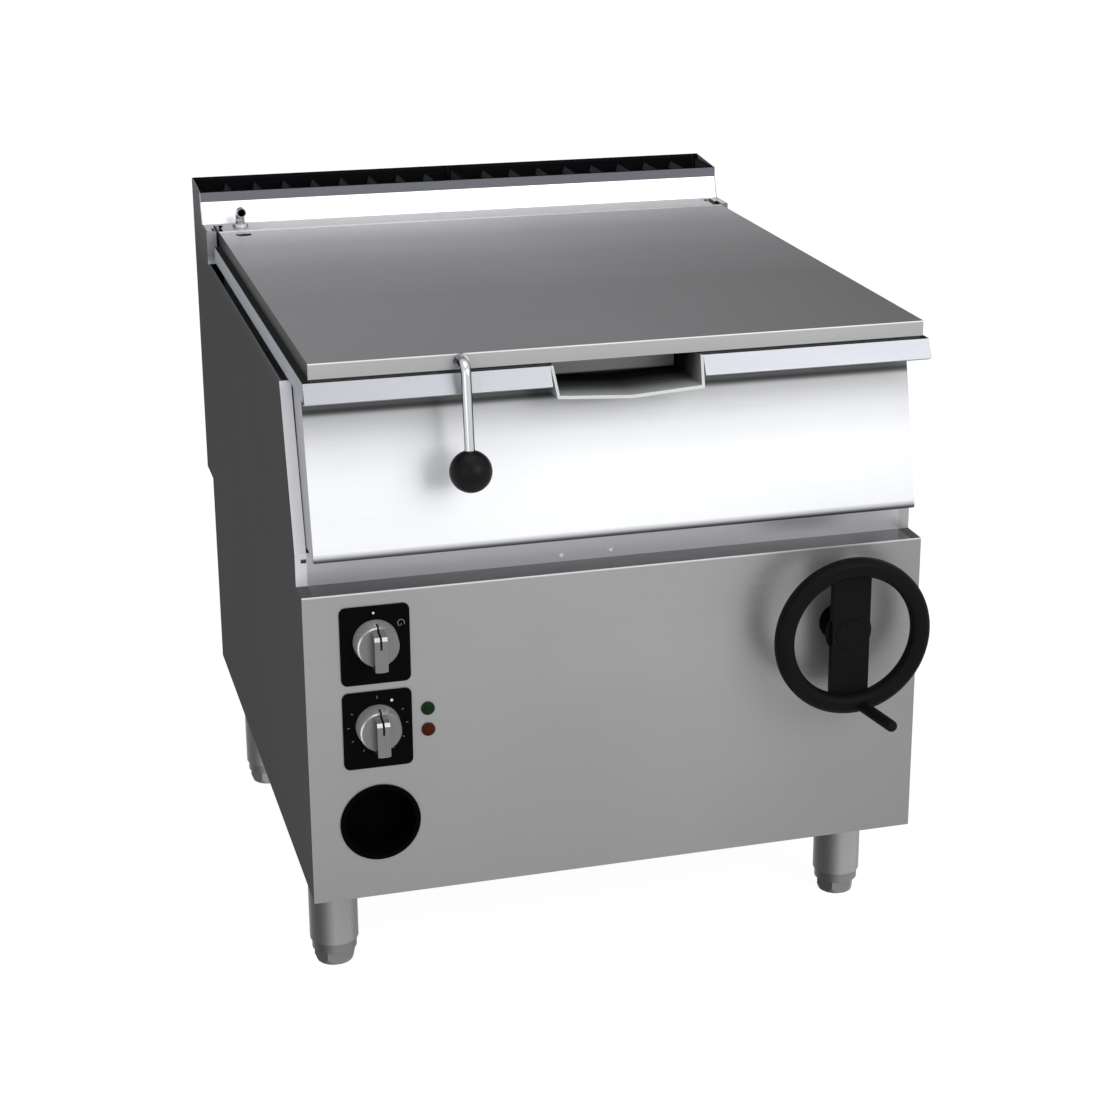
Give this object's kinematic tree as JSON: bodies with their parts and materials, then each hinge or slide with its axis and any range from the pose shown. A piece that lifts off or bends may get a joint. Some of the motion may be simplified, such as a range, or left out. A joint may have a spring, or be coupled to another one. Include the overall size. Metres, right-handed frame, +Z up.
{
  "type": "tilting bratt pan",
  "caption": "Free-standing electric tilting bratt pan: lidded pan with pouring spout, tipped by a handwheel through a worm gear and crank links, on adjustable legs.",
  "frame": {"origin": "on the floor, below the middle of the bounding box", "axes": "+Z up, +X to the right as seen from the front, front towards -Y"},
  "size_m": [0.8, 1.075, 0.902],
  "materials": {
    "side_steel": "fine brushed",
    "front_steel": "fine brushed",
    "plain_steel": "satin",
    "bright_steel": "brushed",
    "lid_steel": "satin",
    "frame_steel": "satin zinc grey",
    "leg_steel": "satin",
    "shaft_steel": "ground",
    "element_steel": "dull, heat tinted",
    "bronze": "machined",
    "copper": "satin",
    "chrome": "polished",
    "grille_enamel": "dark enamel",
    "black_plastic": "matt",
    "gloss_black": "glossy",
    "knob_plastic": "satin grey",
    "switch_plastic": "matt",
    "gland_plastic": "matt",
    "box_paint": "satin",
    "green_lens": "translucent green",
    "orange_lens": "translucent orange",
    "buffer_rubber": "matt",
    "mineral_wool": "loose mats"
  },
  "bodies": {
    "cabinet": {"side_panel_left": "side_steel", "side_panel_right": "side_steel", "front_panel": "front_steel", "front_shelf": "front_steel", "base_plate": "plain_steel", "back_panel": "plain_steel", "flue_back": "plain_steel", "ledge": "bright_steel", "grille_left": "grille_enamel", "grille_right": "grille_enamel", "front_beam": "frame_steel", "cross_beam": "frame_steel", "pivot_blocks": "frame_steel", "shaft_brackets": "frame_steel", "shaft_bearings": "black_plastic", "legs": "leg_steel", "control_plates": "black_plastic", "control_switches": "switch_plastic", "pilot_light_green": "green_lens", "pilot_light_orange": "orange_lens", "round_recess": "black_plastic", "tap_base": "chrome", "water_pipe": "copper", "cable_gland": "gland_plastic", "terminal_box": "box_paint"},
    "pan": {"pan_vessel": "bright_steel", "pan_rim": "bright_steel", "pour_spout": "bright_steel", "pan_casing": "plain_steel", "apron": "bright_steel", "pan_insulation": "mineral_wool", "heating_elements": "element_steel", "thermostat_bulb": "copper", "hinge_ears": "frame_steel", "link_brackets": "frame_steel", "pan_arms": "plain_steel"},
    "lid": {"lid_shell": "lid_steel", "lid_liner": "plain_steel", "lid_buffers": "buffer_rubber", "lid_lever": "chrome", "lid_ball": "gloss_black", "lid_arms": "plain_steel"},
    "wheel": {"handwheel": "black_plastic", "drive_shaft": "shaft_steel", "worm": "shaft_steel", "grip_pin": "shaft_steel"},
    "grip": {"crank_grip": "black_plastic"},
    "crank": {"cross_shaft": "shaft_steel", "worm_wheel": "bronze", "crank_arms": "frame_steel"},
    "link_pair": {"links": "frame_steel"},
    "selector": {"selector_knob": "knob_plastic", "selector_spindle": "shaft_steel"},
    "thermostat": {"thermostat_knob": "knob_plastic", "thermostat_spindle": "shaft_steel"},
    "tap": {"swivel_tap": "chrome"},
    "foot_fl": {"foot_front_left": "leg_steel"},
    "foot_fr": {"foot_front_right": "leg_steel"},
    "foot_rl": {"foot_rear_left": "leg_steel"},
    "foot_rr": {"foot_rear_right": "leg_steel"}
  },
  "joints": [
    {"name": "pan_tilt", "type": "hinge", "parent": "cabinet", "child": "pan", "pos_m": [0, -0.3645, 0.62], "axis": [1, 0, 0], "range_deg": [0, 85]},
    {"name": "lid_open", "type": "hinge", "parent": "pan", "child": "lid", "pos_m": [0, 0.4215, 0.843], "axis": [-1, 0, 0], "range_deg": [0, 85]},
    {"name": "handwheel_turn", "type": "hinge", "parent": "cabinet", "child": "wheel", "pos_m": [0.287, -0.3925, 0.459], "axis": [0, 1, 0], "range_deg": [0, 5100]},
    {"name": "grip_spin", "type": "hinge", "parent": "wheel", "child": "grip", "pos_m": [0.292, -0.4235, 0.367], "axis": [0.1564, -0.9877, 0], "continuous": true},
    {"name": "cross_shaft_turn", "type": "hinge", "parent": "cabinet", "child": "crank", "pos_m": [0, -0.2825, 0.533], "axis": [1, 0, 0], "range_deg": [0, 85]},
    {"name": "link_pivot", "type": "hinge", "parent": "crank", "child": "link_pair", "pos_m": [0, -0.1325, 0.533], "axis": [1, 0, 0], "range_deg": [-85, 0]},
    {"name": "selector_turn", "type": "hinge", "parent": "cabinet", "child": "selector", "pos_m": [-0.3135, -0.3925, 0.4985], "axis": [0, 1, 0], "range_deg": [0, 54]},
    {"name": "thermostat_turn", "type": "hinge", "parent": "cabinet", "child": "thermostat", "pos_m": [-0.3135, -0.3925, 0.3875], "axis": [0, 1, 0], "range_deg": [0, 270]},
    {"name": "tap_swivel", "type": "hinge", "parent": "cabinet", "child": "tap", "pos_m": [-0.347, 0.4125, 0.86], "axis": [0, 0, 1], "range_deg": [-90, 90]},
    {"name": "foot_fl_screw", "type": "slide", "parent": "cabinet", "child": "foot_fl", "axis": [0, 0, -1], "range_m": [0, 0.025]},
    {"name": "foot_fr_screw", "type": "slide", "parent": "cabinet", "child": "foot_fr", "axis": [0, 0, -1], "range_m": [0, 0.025]},
    {"name": "foot_rl_screw", "type": "slide", "parent": "cabinet", "child": "foot_rl", "axis": [0, 0, -1], "range_m": [0, 0.025]},
    {"name": "foot_rr_screw", "type": "slide", "parent": "cabinet", "child": "foot_rr", "axis": [0, 0, -1], "range_m": [0, 0.025]}
  ],
  "couplings": [
    {"joint": "handwheel_turn", "follows": "pan_tilt", "ratio": 60},
    {"joint": "cross_shaft_turn", "follows": "pan_tilt", "ratio": 1},
    {"joint": "link_pivot", "follows": "pan_tilt", "ratio": -1}
  ]
}
